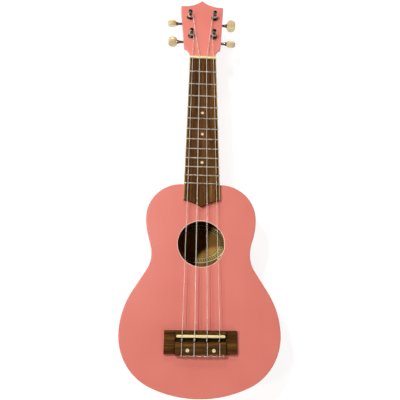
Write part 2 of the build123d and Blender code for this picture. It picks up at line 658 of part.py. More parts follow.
# ---------------------------------------------------------------- bridge and saddle
def bridge():
    """Low wings, and a raised block with the saddle's slot, a channel behind it and the tie holes."""
    wings = block_at(BRIDGE_WIDTH, BRIDGE_FRONT_S, BRIDGE_BACK_S, TOP_Z, TOP_Z + BRIDGE_WING_HEIGHT)
    wings = fillet(wings.edges().group_by(Axis.Z)[-1], 1.0)
    block = block_at(
        BRIDGE_BLOCK_WIDTH, BRIDGE_FRONT_S + 0.6, BRIDGE_BLOCK_BACK_S, TOP_Z, TOP_Z + BRIDGE_BLOCK_HEIGHT
    )
    block = fillet(block.edges().group_by(Axis.Z)[-1], 0.6)
    channel = block_at(
        BRIDGE_BLOCK_WIDTH + 1, CHANNEL_FRONT_S, CHANNEL_BACK_S, TOP_Z + CHANNEL_FLOOR, TOP_Z + 20
    )
    lip = block_at(
        BRIDGE_BLOCK_WIDTH + 1,
        SADDLE_S + SADDLE_THICKNESS / 2,
        CHANNEL_FRONT_S + 0.1,
        TOP_Z + BRIDGE_BLOCK_HEIGHT - 1.6,
        TOP_Z + 20,
    )
    slot = block_at(
        SADDLE_LENGTH + 0.04,
        SADDLE_S - SADDLE_THICKNESS / 2 - 0.02,
        SADDLE_S + SADDLE_THICKNESS / 2 + 0.02,
        TOP_Z + SADDLE_SEAT,
        TOP_Z + 20,
    )
    body = wings + block - channel - lip - slot
    tie_depth = BRIDGE_BLOCK_BACK_S - CHANNEL_BACK_S + 4
    tie_hole = Rot(90, 0, 0) * Cylinder(TIE_HOLE_RADIUS, tie_depth)
    for _, side, place, _, _ in STRINGS:
        x = side * place * STRING_SPAN_AT_SADDLE / 2
        body -= Pos(x, y_at((CHANNEL_BACK_S + BRIDGE_BLOCK_BACK_S) / 2), TOP_Z + TIE_HOLE_HEIGHT) * tie_hole
    pockets = [
        Pos(x, y_at(BRIDGE_DOT_S), TOP_Z + BRIDGE_BLOCK_HEIGHT) * Cylinder(BRIDGE_DOT_RADIUS + 0.02, 4.8)
        for x in (-BRIDGE_DOT_X, BRIDGE_DOT_X)
    ]
    return body - pockets - bridge_screw_holes(1.55)


def bridge_dots():
    top = TOP_Z + BRIDGE_BLOCK_HEIGHT
    return [
        Pos(x, y_at(BRIDGE_DOT_S), top - 0.4) * Cylinder(BRIDGE_DOT_RADIUS, 0.9)
        for x in (-BRIDGE_DOT_X, BRIDGE_DOT_X)
    ]


def bridge_screws():
    """The screws that hold the bridge down, under its dots."""
    seat = TOP_Z + BRIDGE_BLOCK_HEIGHT - 2.4
    screws = []
    for x in (-BRIDGE_DOT_X, BRIDGE_DOT_X):
        head = Pos(x, y_at(BRIDGE_DOT_S), seat + 0.65) * Cylinder(BRIDGE_DOT_RADIUS - 0.1, 1.3)
        shank = Pos(x, y_at(BRIDGE_DOT_S), seat - 5.5) * Cylinder(1.5, 11.2)
        screws.append(head + shank)
    return screws


def saddle():
    """A bone-coloured bar with round ends and a round top."""
    half = SADDLE_THICKNESS / 2
    height = SADDLE_TOP - SADDLE_SEAT
    section = Plane(origin=(0, y_at(SADDLE_S), TOP_Z + SADDLE_SEAT), x_dir=(0, 1, 0), z_dir=(1, 0, 0))
    profile = Pos(0, (height - half) / 2) * Rectangle(2 * half, height - half)
    profile += Pos(0, height - half) * Circle(half)
    bar = extrude(section * profile, SADDLE_LENGTH / 2, both=True)
    plan = slab(Pos(0, y_at(SADDLE_S)) * SlotOverall(SADDLE_LENGTH, 2 * half), TOP_Z, TOP_Z + 20)
    return bar & plan


# ---------------------------------------------------------------- strings
def tangent_angle(point, centre, radius):
    """The angle of the line from point that just passes over a circle, in the (s, z) plane."""
    run, rise = centre[0] - point[0], centre[1] - point[1]
    return atan2(rise, run) + asin(radius / hypot(run, rise))


def string_points(place, radius, row):
    """The corners of a string on the right-hand side, from its post to its tie, and its corner radii."""
    nut_x, saddle_x = place * STRING_SPAN_AT_NUT / 2, place * STRING_SPAN_AT_SADDLE / 2
    nut_bend = (nut_x, NUT_BEND_S, STRING_AT_NUT_HEIGHT + radius)
    # over the saddle: two lines tangent to one circle round its rounded top
    crown = (SADDLE_S, SADDLE_TOP - SADDLE_THICKNESS / 2)
    crown_radius = SADDLE_THICKNESS / 2 + radius + STRING_CLEARANCE
    tie_in = (CHANNEL_BACK_S - 0.4, TIE_HOLE_HEIGHT)
    rising = tangent_angle((nut_bend[1], nut_bend[2]), crown, crown_radius)
    run, rise = tie_in[0] - crown[0], tie_in[1] - crown[1]
    falling = atan2(rise, run) - asin(crown_radius / hypot(run, rise))
    span = tie_in[0] - nut_bend[1]
    drop = nut_bend[2] - tie_in[1]
    corner_run = (-drop - sin(falling) / cos(falling) * span) / (
        sin(rising) / cos(rising) - sin(falling) / cos(falling)
    )
    corner = (saddle_x, nut_bend[1] + corner_run, nut_bend[2] + sin(rising) / cos(rising) * corner_run)
    # the tie: through the block, up its back and forward over its top
    over = BRIDGE_BLOCK_HEIGHT + radius + STRING_CLEARANCE
    behind = BRIDGE_BLOCK_BACK_S + radius + 0.5
    beside = saddle_x + 0.4
    tie = [
        (saddle_x, tie_in[0], tie_in[1]),
        (saddle_x, behind, tie_in[1]),
        (beside, behind, over),
        (beside, CHANNEL_BACK_S + 0.8, over),
    ]
    corners = [Vector(x, y_at(s), TOP_Z + z) for x, s, z in [nut_bend, corner, *tie]]
    radii = [2.5, crown_radius, 1.0, radius + 0.3, radius + 0.3]
    return [string_end(place, radius, row, corners[0]), *corners], radii


def winding_radius(radius):
    return POST_NECK_RADIUS + radius + 0.03


def winding_tangent(radius, row, bend):
    """Where the string meets its winding, on the post's inner side, as (x, d) and the angle there."""
    x, d = POST_PLACES[row]
    to_nut = Vector(bend.X - x, -NUT_THICKNESS * 0.8 - d)
    reach = winding_radius(radius)
    angle = atan2(to_nut.Y, to_nut.X) - acos(reach / to_nut.length)
    return x + reach * cos(angle), d + reach * sin(angle), angle


def string_end(place, radius, row, bend):
    """The straight string stops just short of the turning post's winding."""
    x, d, _ = winding_tangent(radius, row, bend)
    touch = Vector(*head_point(x, d, WINDING_TOP - radius))
    back = (bend - touch).normalized()
    return touch + back * (2 * sqrt(winding_radius(radius) * radius) + 0.25)


def string_tube(place, radius, row, side):
    corners, radii = string_points(place, radius, row)
    path = FilletPolyline(*corners, radius=radii)
    start = Plane(origin=path @ 0, z_dir=path % 0)
    tube = sweep(start * Circle(radius), path)
    return tube if side > 0 else tube.mirror(Plane.YZ)


def winding(place, radius, row, side):
    """The string's turns round its post. They turn with the post."""
    corners, _ = string_points(place, radius, row)
    _, _, angle = winding_tangent(radius, row, corners[1])
    pitch = 2 * radius + 0.04
    height = WINDING_TURNS * pitch
    path = Helix(pitch, height, winding_radius(radius))
    section = Plane(origin=path @ 0, z_dir=path % 0)
    coil = sweep(section * Circle(radius), path, is_frenet=True)
    coil = Pos(0, 0, WINDING_TOP - radius - height) * Rot(0, 0, degrees(angle)) * coil
    return placed(coil, side, row)


def nut():
    """The nut: a bar with a sloping round back and a slot for each string."""
    half = NUT_WIDTH / 2
    section = Plane(origin=(-half, y_at(0), TOP_Z), x_dir=(0, 1, 0), z_dir=(1, 0, 0))
    profile = Wire(
        [
            Line((0, 0), (NUT_THICKNESS, 0)),
            Line((NUT_THICKNESS, 0), (NUT_THICKNESS, NUT_HEIGHT - 2.2)),
            ThreePointArc(
                (NUT_THICKNESS, NUT_HEIGHT - 2.2), (NUT_THICKNESS - 0.9, NUT_HEIGHT - 0.75), (1.2, NUT_HEIGHT)
            ),
            Line((1.2, NUT_HEIGHT), (0, NUT_HEIGHT)),
            Line((0, NUT_HEIGHT), (0, 0)),
        ]
    )
    bar = extrude(section * Face(profile), NUT_WIDTH)
    for _, side, place, radius, row in STRINGS:
        corners, _ = string_points(place, radius, row)
        end, bend, far = corners[:3]
        for towards in (end, far):
            along = (towards - bend).normalized()
            up = Vector(1, 0, 0).cross(along)
            up = up if up.Z > 0 else -up
            room = radius + STRING_CLEARANCE
            slot = Location(Plane(origin=bend, x_dir=along, z_dir=up)) * Pos(4.5, 0, 3 - room) * Box(
                10, 2 * room, 6
            )
            bar -= slot if side > 0 else slot.mirror(Plane.YZ)
    return bar


# ---------------------------------------------------------------- the assembly
def write(name, *solids):
    """One STEP file for a node, holding each of its pieces as a separate solid."""
    pieces = [solid for piece in solids for solid in piece.solids()]
    shape = pieces[0] if len(pieces) == 1 else Compound(children=pieces)
    shape.label = name
    export_step(shape, f"parts/{name}.step")


def main():
    os.makedirs("parts", exist_ok=True)
    inner_top = TOP_Z - PLATE_THICKNESS

    write("soundboard", soundboard())
    write("back_plate", back_plate())
    left_rib, right_rib = ribs()
    write("side_left", left_rib)
    write("side_right", right_rib)
    write("neck_block", neck_block())
    write("tail_block", tail_block())
    back_lining = lining_ring(PLATE_THICKNESS)
    write("back_linings", back_lining)
    write("top_linings", Pos(0, 0, inner_top - LINING_HEIGHT - PLATE_THICKNESS) * back_lining)
    write("soundboard_brace_upper", brace(207, 6, 8, inner_top, -1))
    write("soundboard_brace_lower", brace(281, 6, 8, inner_top, -1))
    write("back_brace_upper", brace(200, 7, 9, PLATE_THICKNESS, 1))
    write("back_brace_lower", brace(312, 7, 9, PLATE_THICKNESS, 1))
    write("bridge_patch", bridge_patch())
    write("label", paper_label())

    write("neck", neck())
    write("neck_dowels", *[dowel(z, DOWEL_RADIUS) for z in DOWEL_HEIGHTS])
    write("headstock", headstock())
    write("nut", nut())
    write("fretboard", fretboard())
    write("fretboard_bindings", fretboard_bindings())
    write("frets", *[fret(number) for number in range(1, FRET_COUNT + 1)])
    write("fret_markers", *fret_markers())

    write("bridge", bridge())
    write("bridge_dots", *bridge_dots())
    write("bridge_screws", *bridge_screws())
    write("saddle", saddle())

    machine_plate, machine_gear, machine_screw = tuner_plate(), gear(), gear_screw()
    machine_post, machine_worm = post(), worm_shaft()
    bushings, plate_screws = [], []
    for name, side, place, radius, row in STRINGS:
        write(f"string_{name}", string_tube(place, radius, row, side))
        write(f"string_{name}_winding", winding(place, radius, row, side))
        write(f"tuner_{name}_plate", placed(machine_plate, side, row))
        write(f"tuner_{name}_gear", placed(machine_gear, side, row))
        write(f"tuner_{name}_gear_screw", placed(machine_screw, side, row))
        write(f"tuner_{name}_post", placed(machine_post, side, row))
        write(f"tuner_{name}_worm_shaft", placed(machine_worm, side, row))
        write(f"tuner_{name}_button", placed(button(BUTTON_ANGLES[name]), side, row))
        bushings.append(placed(post_bushing(), side, row))
        plate_screws += [placed(plate_screw(spot), side, row) for spot in PLATE_SCREW_PLACES]
    write("post_bushings", *bushings)
    write("tuner_plate_screws", *plate_screws)


main()
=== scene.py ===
import json
import math

import bmesh
import bpy
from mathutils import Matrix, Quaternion, Vector


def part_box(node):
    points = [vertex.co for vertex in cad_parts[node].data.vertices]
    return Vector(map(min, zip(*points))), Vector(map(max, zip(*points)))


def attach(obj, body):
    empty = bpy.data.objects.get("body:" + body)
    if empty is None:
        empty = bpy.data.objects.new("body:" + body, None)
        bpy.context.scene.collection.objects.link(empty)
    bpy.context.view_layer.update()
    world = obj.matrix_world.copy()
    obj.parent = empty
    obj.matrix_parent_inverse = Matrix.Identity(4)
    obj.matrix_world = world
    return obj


# A soprano ukulele on its back on a pale floor. The CAD bodies give every shape its place; this script
# gives them their finishes and adds the fine pieces: the strings' knots and loose ends at the bridge, and
# a plated sleeve on each knob's shaft.

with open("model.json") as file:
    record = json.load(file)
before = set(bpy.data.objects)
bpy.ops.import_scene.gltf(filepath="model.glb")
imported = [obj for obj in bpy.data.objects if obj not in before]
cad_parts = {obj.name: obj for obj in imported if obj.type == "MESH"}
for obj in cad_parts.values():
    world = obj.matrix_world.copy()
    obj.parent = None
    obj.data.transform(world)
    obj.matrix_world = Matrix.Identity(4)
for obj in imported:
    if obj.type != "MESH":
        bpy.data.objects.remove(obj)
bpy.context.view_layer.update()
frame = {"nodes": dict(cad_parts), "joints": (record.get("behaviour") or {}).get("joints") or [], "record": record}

# ---------------------------------------------------------------- places and sizes, in metres
JOINTS = {joint["name"]: joint for joint in frame["joints"]}
BODY_DEPTH = 0.062
HOLE_CENTRE = Vector((0.0, -0.0969, BODY_DEPTH))
HOLE_RADIUS = 0.0268
WAIST_CENTRE = Vector((0.0, -0.1104, BODY_DEPTH / 2))

# Each string's radius, its place across the bridge, and the length of its loose end there.
OUTER_STRING_X = 0.020
INNER_STRING_X = OUTER_STRING_X / 3
STRINGS = {
    "g": (0.00036, -OUTER_STRING_X, 0.0115),
    "c": (0.00050, -INNER_STRING_X, 0.0114),
    "e": (0.00042, INNER_STRING_X, 0.0116),
    "a": (0.00032, OUTER_STRING_X, 0.0040),
}


# ---------------------------------------------------------------- material building
class Finish:
    """One procedural material, built node by node round its Principled shader."""

    def __init__(self, name, **sockets):
        self.material = bpy.data.materials.new(name)
        self.material.use_nodes = True
        self.nodes = self.material.node_tree.nodes
        self.links = self.material.node_tree.links
        self.shader = self.nodes["Principled BSDF"]
        self.place = self.nodes.new("ShaderNodeTexCoord").outputs["Object"]
        for socket, value in sockets.items():
            self.shader.inputs[socket.replace("_", " ")].default_value = value

    def node(self, kind, inputs, **settings):
        """A new node's outputs: each input takes a socket's link or a fixed value."""
        made = self.nodes.new(kind)
        for setting, value in settings.items():
            setattr(made, setting, value)
        for key, value in inputs.items():
            if isinstance(value, bpy.types.NodeSocket):
                self.links.new(value, made.inputs[key])
            else:
                made.inputs[key].default_value = value
        return made.outputs

    def stretched(self, x, y, z, place=None):
        """The place with each axis scaled: a small scale draws a pattern out along that axis."""
        return self.node("ShaderNodeMapping", {"Vector": place or self.place, "Scale": (x, y, z)})["Vector"]

    def noise(self, scale, place=None, detail=3.0, roughness=0.5, distortion=0.0):
        """Noise with features about 1/scale metres across."""
        inputs = {
            "Vector": place or self.place,
            "Scale": scale,
            "Detail": detail,
            "Roughness": roughness,
            "Distortion": distortion,
        }
        return self.node("ShaderNodeTexNoise", inputs)["Fac"]

    def calculate(self, kind, first, second=0.0, third=0.0):
        """Arithmetic on sockets or on fixed numbers."""
        return self.node("ShaderNodeMath", {0: first, 1: second, 2: third}, operation=kind)[0]

    def between(self, value, low, high, to_low=0.0, to_high=1.0):
        """The value's place between low and high, held within them, as a number from to_low to to_high."""
        inputs = {"Value": value, "From Min": low, "From Max": high, "To Min": to_low, "To Max": to_high}
        return self.node("ShaderNodeMapRange", inputs)["Result"]

    def ramp(self, value, *stops):
        """A colour for each value: stops are (position, (r, g, b))."""
        made = self.nodes.new("ShaderNodeValToRGB")
        elements = made.color_ramp.elements
        while len(elements) < len(stops):
            elements.new(0.5)
        for element, (position, colour) in zip(elements, stops):
            element.position = position
            element.color = (*colour, 1.0)
        self.links.new(value, made.inputs["Fac"])
        return made.outputs["Color"]

    def mix(self, share, first, second):
        """One colour laid over another by that share."""
        made = self.nodes.new("ShaderNodeMix")
        made.data_type = "RGBA"
        for socket, value in ((made.inputs[0], share), (made.inputs[6], first), (made.inputs[7], second)):
            if isinstance(value, bpy.types.NodeSocket):
                self.links.new(value, socket)
            elif isinstance(value, tuple):
                socket.default_value = (*value, 1.0)
            else:
                socket.default_value = value
        return made.outputs[2]

    def split(self, vector):
        """The vector's X, Y and Z."""
        return self.node("ShaderNodeSeparateXYZ", {"Vector": vector})

    def vector(self, kind, *operands):
        """Vector arithmetic on sockets or on fixed (x, y, z) values."""
        inputs = dict(enumerate(operands))
        made = self.node("ShaderNodeVectorMath", inputs, operation=kind)
        return made["Value"] if kind in ("DOT_PRODUCT", "LENGTH") else made["Vector"]

    def facing(self):
        """The surface's outward direction."""
        return self.nodes.new("ShaderNodeNewGeometry").outputs["Normal"]

    def worn_edges(self, radius, most):
        """How far a sharp edge is worn, from 0 on a flat to most on the edge, patchy along it."""
        rounded = self.node("ShaderNodeBevel", {"Radius": radius}, samples=6)["Normal"]
        turned = self.vector("DOT_PRODUCT", rounded, self.facing())
        edge = self.between(turned, 0.995, 0.90)
        patches = self.between(self.noise(260.0), 0.42, 0.62, 0.15 * most, most)
        return self.calculate("MULTIPLY", edge, patches)

    def openness(self, reach):
        """How open a place is, from 0 deep in a corner to 1 in the open, within that reach in metres."""
        return self.node("ShaderNodeAmbientOcclusion", {"Distance": reach}, samples=8)["AO"]

    def finish(self, colour, roughness, height=None, depth=None):
        """Joins the colour, the roughness and a bump of that depth in metres to the shader."""
        self.links.new(colour, self.shader.inputs["Base Color"])
        self.links.new(roughness, self.shader.inputs["Roughness"])
        if height is not None:
            bump = self.node("ShaderNodeBump", {"Height": height, "Strength": 1.0, "Distance": depth})
            self.links.new(bump["Normal"], self.shader.inputs["Normal"])
        return self.material


# Colours are linear (red, green, blue). Where a finish takes two, the lighter one clouds the deeper one.
PINK = ((0.745, 0.195, 0.150), (0.800, 0.228, 0.178))
PINK_GRAIN = (0.58, 0.12, 0.085)
PINK_RUBBED = (0.90, 0.46, 0.38)
# The next colour is a painted highlight: a pale ring along the sound hole's rounded edge.
PINK_RIM_HIGHLIGHT = (0.97, 0.66, 0.56)
BARE_LIGHT = (0.400, 0.190, 0.030)
BARE_DEEP = (0.190, 0.080, 0.012)
WOOD_PORE = (0.012, 0.005, 0.003)
# The next colour is painted shade, laid into the corners and recesses of the dark woods.
WOOD_PAINTED_SHADE = (0.010, 0.004, 0.002)
NYLON_SHADES = ((0.97, 0.86, 0.74), (1.0, 0.95, 0.86))
PAPER_DEEP = (0.66, 0.48, 0.13)
PAPER_LIGHT = (0.86, 0.66, 0.21)
PAPER_FIELD = (0.58, 0.27, 0.040)
PAPER_RIM = (0.98, 0.84, 0.46)
PAPER_INK = (0.055, 0.030, 0.012)
FLOOR_DEEP = (0.22, 0.22, 0.22)
FLOOR_LIGHT = (0.25, 0.25, 0.25)
WHITE = (1.0, 1.0, 1.0)


def lacquer(name, clouded, hole=None, bare=None):
    """Salmon-pink satin lacquer: faint clouding, sunk grain, orange peel and paler rubbed edges. hole is the
    (centre, radius) of a round edge that gets a painted highlight, a paler ring along it. bare says which
    faces have no lacquer and show the wood: "under" the top, "above" the back or, as "ribs", inside them."""
    made = Finish(name, Coat_Weight=0.10, Coat_Roughness=0.25, Coat_IOR=1.5, IOR=1.45)
    clouds = made.noise(9.0, detail=2.0)
    colour = made.ramp(clouds, (0.30, clouded[0]), (0.70, clouded[1]))
    grain = made.noise(55.0, made.stretched(1.0, 0.05, 1.0), detail=4.0)
    colour = made.mix(made.between(grain, 0.35, 0.75, 0.0, 0.07), colour, PINK_GRAIN)
    if hole is not None:
        centre, radius = hole
        offset = made.vector("SUBTRACT", made.place, tuple(centre))
        distance = made.vector("LENGTH", made.stretched(1.0, 1.0, 0.0, offset))
        ragged = made.calculate("MULTIPLY_ADD", made.noise(420.0), 0.0004, distance)
        # Painted highlight: a paler ring along the hole's rounded edge, where its curve would catch the light.
        rim_highlight = made.between(ragged, radius + 0.0012, radius + 0.0008)
        colour = made.mix(made.calculate("MULTIPLY", rim_highlight, 0.8), colour, PINK_RIM_HIGHLIGHT)
    colour = made.mix(made.worn_edges(0.0006, 0.35), colour, PINK_RUBBED)
    peel = made.noise(650.0, detail=1.5)
    height = made.calculate("MULTIPLY_ADD", grain, 0.35, peel)
    roughness = made.between(made.noise(38.0), 0.3, 0.7, 0.36, 0.48)
    if bare is not None:
        facing = made.split(made.facing())["Z"]
        if bare == "under":
            inside = made.calculate("LESS_THAN", facing, -0.5)
        elif bare == "above":
            inside = made.calculate("GREATER_THAN", facing, 0.5)
        else:
            outward = made.vector("SUBTRACT", made.place, tuple(WAIST_CENTRE))
            level = made.stretched(1.0, 1.0, 0.0, outward)
            inside = made.calculate("LESS_THAN", made.vector("DOT_PRODUCT", level, made.facing()), 0.0)
        lines = made.noise(360.0, made.stretched(1.0, 0.06, 1.0), detail=4.0, distortion=0.4)
        wood = made.ramp(lines, (0.32, BARE_DEEP), (0.62, BARE_LIGHT))
        colour = made.mix(inside, colour, wood)
        roughness = made.calculate("MAXIMUM", roughness, made.calculate("MULTIPLY", inside, 0.75))
    return made.finish(colour, roughness, height, 0.00005)


def rosewood(name, along, shades, worn_shade):
    """Dark open-grained wood: streaks and pores along one axis, and paler where it is rubbed. Painted shade
    makes it almost black in its corners."""
    made = Finish(name, IOR=1.45, Specular_IOR_Level=0.04)
    thin = (1.0, 0.045, 1.0) if along == "Y" else (0.05, 1.0, 1.0)
    length = made.stretched(*thin)
    streaks = made.noise(300.0, length, detail=6.0, roughness=0.62, distortion=0.35)
    broad = made.noise(70.0, length, detail=3.0)
    deep, middle, light = shades
    colour = made.ramp(streaks, (0.30, deep), (0.50, middle), (0.70, light))
    shaded = made.mix(0.45, colour, deep)
    colour = made.mix(made.between(broad, 0.38, 0.62), colour, shaded)
    pore_scale = tuple(0.16 if scale < 0.5 else 1.0 for scale in thin)
    pores = made.noise(1500.0, made.stretched(*pore_scale), detail=2.0)
    pitted = made.between(pores, 0.60, 0.68)
    colour = made.mix(made.calculate("MULTIPLY", pitted, 0.6), colour, WOOD_PORE)
    colour = made.mix(made.worn_edges(0.0005, 0.6), colour, worn_shade)
    # Painted shade: corners and recesses, such as the channel behind the saddle, are darkened almost to black.
    painted_corner_shade = made.between(made.openness(0.006), 0.35, 0.95, 0.85, 0.0)
    colour = made.mix(painted_corner_shade, colour, WOOD_PAINTED_SHADE)
    height = made.calculate("SUBTRACT", made.calculate("MULTIPLY", streaks, 0.5), pitted)
    roughness = made.between(streaks, 0.3, 0.7, 0.45, 0.62)
    return made.finish(colour, roughness, height, 0.00006)


def bare_wood(name, light, deep, along="Y"):
    """Unlacquered wood: growth lines along the grain, and soft fibres."""
    made = Finish(name)
    length = made.stretched(*((0.05, 1.0, 1.0) if along == "X" else (1.0, 0.05, 1.0)))
    lines = made.noise(420.0, length, detail=4.0, distortion=0.4)
    fibres = made.noise(1900.0, length, detail=2.0)
    colour = made.ramp(lines, (0.32, deep), (0.62, light))
    colour = made.mix(made.worn_edges(0.0006, 0.5), colour, light)
    height = made.calculate("ADD", lines, made.calculate("MULTIPLY", fibres, 0.5))
    return made.finish(colour, made.between(fibres, 0.3, 0.7, 0.6, 0.8), height, 0.00008)


def plastic(name, light, deep, roughness=(0.22, 0.34)):
    """Moulded or sawn plastic with faint cloudy variation and fine surface marks."""
    made = Finish(name, IOR=1.5)
    clouds = made.noise(160.0, detail=4.0, distortion=0.5)
    colour = made.ramp(clouds, (0.32, deep), (0.66, light))
    colour = made.mix(made.worn_edges(0.0004, 0.4), colour, tuple(0.5 + 0.5 * channel for channel in light))
    marks = made.noise(2400.0, made.stretched(1.0, 0.2, 1.0), detail=2.0)
    return made.finish(colour, made.between(clouds, 0.3, 0.7, *roughness), marks, 0.00002)


def pearl(name, *shades):
    """Mother-of-pearl plastic: soft swirls from dim to bright."""
    made = Finish(name, Coat_Weight=0.6, Coat_Roughness=0.08)
    swirl = made.noise(520.0, detail=3.0, distortion=1.6)
    colour = made.ramp(swirl, *zip((0.30, 0.5, 0.7), shades))
    return made.finish(colour, made.between(swirl, 0.3, 0.7, 0.2, 0.35), swirl, 0.00002)


def metal(name, colour, deep, roughness, scratches_along="Y", metallic=1.0, coat=0.0):
    """Plated or bare metal: handling marks, and fine scratches along one axis."""
    made = Finish(name, Metallic=metallic, Coat_Weight=coat, Coat_Roughness=0.04)
    smears = made.noise(240.0, detail=4.0)
    drawn_out = (0.08, 1.0, 1.0) if scratches_along == "X" else (1.0, 0.08, 1.0)
    scratches = made.noise(3800.0, made.stretched(*drawn_out), detail=2.0)
    shade = made.ramp(smears, (0.25, deep), (0.60, colour))
    shade = made.mix(made.worn_edges(0.0003, 0.5), shade, tuple(0.3 + 0.7 * channel for channel in colour))
    rough = made.between(made.calculate("MULTIPLY_ADD", scratches, 0.4, smears), 0.4, 1.0, *roughness)
    return made.finish(shade, rough, scratches, 0.00001)


def nylon(name):
    """Clear drawn nylon, milky enough to read as pale against dark wood, with long draw marks."""
    made = Finish(name, IOR=1.45, Transmission_Weight=0.60)
    drawn = made.noise(1500.0, made.stretched(1.0, 0.02, 1.0), detail=2.0)
    colour = made.ramp(drawn, *zip((0.30, 0.70), NYLON_SHADES))
    return made.finish(colour, made.between(drawn, 0.3, 0.7, 0.22, 0.36), drawn, 0.00001)


# The label's print, as shares of the oval's half width: a brown field, a rule, a ring of ticks, and a second
# rule inside the paper's pale rim.
FIELD_EDGE = 0.70
INNER_RULE = (0.725, 0.014)
TICK_RING = (0.79, 0.925)
TICK_COUNT = 64.0
OUTER_RULE = (0.938, 0.010)
RIM_START = 0.945


def label_paper(name, low, high):
    """Cream paper printed with a plain oval border: two rules, a ring of radial ticks and a brown field."""
    made = Finish(name)
    centre, size = (low + high) / 2, high - low
    offset = made.vector("SUBTRACT", made.place, tuple(centre))
    oval = made.stretched(2 / size.x, 2 / size.y, 0.0, offset)
    radius = made.vector("LENGTH", oval)
    axes = made.split(oval)
    angle = made.calculate("ARCTAN2", axes["Y"], axes["X"])
    wave = made.calculate("SINE", made.calculate("MULTIPLY", angle, TICK_COUNT))
    ticks = made.calculate("GREATER_THAN", wave, 0.1)
    past_start = made.calculate("GREATER_THAN", radius, TICK_RING[0])
    ring = made.calculate("MULTIPLY", past_start, made.calculate("LESS_THAN", radius, TICK_RING[1]))
    inner_rule = made.calculate("COMPARE", radius, *INNER_RULE)
    rules = made.calculate("ADD", inner_rule, made.calculate("COMPARE", radius, *OUTER_RULE))
    field = made.between(radius, FIELD_EDGE, FIELD_EDGE - 0.01)
    fibres = made.noise(900.0, detail=4.0)
    paper = made.ramp(fibres, (0.3, PAPER_DEEP), (0.7, PAPER_LIGHT))
    printed = made.mix(made.calculate("MULTIPLY", field, 0.85), paper, PAPER_FIELD)
    printed = made.mix(made.between(radius, RIM_START, RIM_START + 0.01), printed, PAPER_RIM)
    lines = made.calculate("ADD", made.calculate("MULTIPLY", ring, ticks), rules)
    ink = made.calculate("MINIMUM", lines, 1.0)
    colour = made.mix(made.calculate("MULTIPLY", ink, 0.85), printed, PAPER_INK)
    return made.finish(colour, made.between(fibres, 0.3, 0.7, 0.7, 0.9), fibres, 0.00003)


def floor_finish(name):
    """A pale seamless studio floor."""
    made = Finish(name)
    made.shader.inputs["Emission Color"].default_value = (*WHITE, 1.0)
    made.shader.inputs["Emission Strength"].default_value = 0.86
    mottle = made.noise(30.0, detail=2.0)
    colour = made.ramp(mottle, (0.0, FLOOR_DEEP), (1.0, FLOOR_LIGHT))
    return made.finish(colour, made.between(mottle, 0.0, 1.0, 0.8, 0.95))


LABEL_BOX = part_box("label")
FINISHES = {
    "top_lacquer": lacquer("top_lacquer", PINK, (HOLE_CENTRE, HOLE_RADIUS), bare="under"),
    "body_lacquer": lacquer("body_lacquer", PINK, bare="ribs"),
    "neck_lacquer": lacquer("neck_lacquer", PINK),
    "inner_wood": bare_wood("inner_wood", (0.30, 0.145, 0.055), (0.17, 0.072, 0.026)),
    "spruce": bare_wood("spruce", (0.50, 0.32, 0.16), (0.36, 0.21, 0.09), along="X"),
    "fretboard_wood": rosewood(
        "fretboard_wood",
        "Y",
        ((0.036, 0.013, 0.003), (0.130, 0.053, 0.013), (0.250, 0.113, 0.032)),
        (0.28, 0.14, 0.05),
    ),
    "bridge_wood": rosewood(
        "bridge_wood",
        "X",
        ((0.030, 0.011, 0.003), (0.115, 0.046, 0.009), (0.235, 0.105, 0.023)),
        (0.25, 0.12, 0.033),
    ),
    "cream_plastic": plastic("cream_plastic", (0.50, 0.37, 0.12), (0.36, 0.25, 0.07)),
    "bone_plastic": plastic("bone_plastic", (0.93, 0.82, 0.42), (0.86, 0.72, 0.32)),
    "button_plastic": plastic("button_plastic", (0.72, 0.59, 0.31), (0.54, 0.43, 0.21), (0.16, 0.30)),
    "pearl": pearl("pearl", (0.56, 0.46, 0.28), (0.82, 0.70, 0.46), (0.96, 0.86, 0.62)),
    "nickel": metal("nickel", (0.17, 0.16, 0.14), (0.07, 0.065, 0.055), (0.05, 0.14), coat=1.0),
    "fret_metal": metal(
        "fret_metal",
        (0.84, 0.76, 0.61),
        (0.64, 0.57, 0.45),
        (0.22, 0.38),
        scratches_along="X",
        metallic=0.85,
    ),
    "plated_steel": metal("plated_steel", (0.60, 0.60, 0.60), (0.40, 0.40, 0.40), (0.25, 0.45)),
    "gear_brass": metal("gear_brass", (0.70, 0.50, 0.22), (0.48, 0.32, 0.13), (0.28, 0.5)),
    "nylon": nylon("nylon"),
    "label_paper": label_paper("label_paper", *LABEL_BOX),
}
BACK_LACQUER = lacquer("back_lacquer", PINK, bare="above")
SLOT_OF = {sub["node"]: sub["material_slot"] for sub in frame["record"]["subparts"]}


for node, piece in frame["nodes"].items():
    piece.data.materials.clear()
    piece.data.materials.append(FINISHES[SLOT_OF[node]])
frame["nodes"]["back_plate"].data.materials[0] = BACK_LACQUER


# ---------------------------------------------------------------- fine pieces
TUBE_END_SHARE = 0.55  # a tube's first and last rings, as a share of its radius


def make_piece(name, form, slot, body):
    """A finished mesh of its own that moves with a CAD body."""
    mesh = bpy.data.meshes.new(name)
    form.to_mesh(mesh)
    form.free()
    for face in mesh.polygons:
        face.use_smooth = True
    piece = bpy.data.objects.new(name, mesh)
    bpy.context.scene.collection.objects.link(piece)
    mesh.materials.append(FINISHES[slot])
    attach(piece, body)


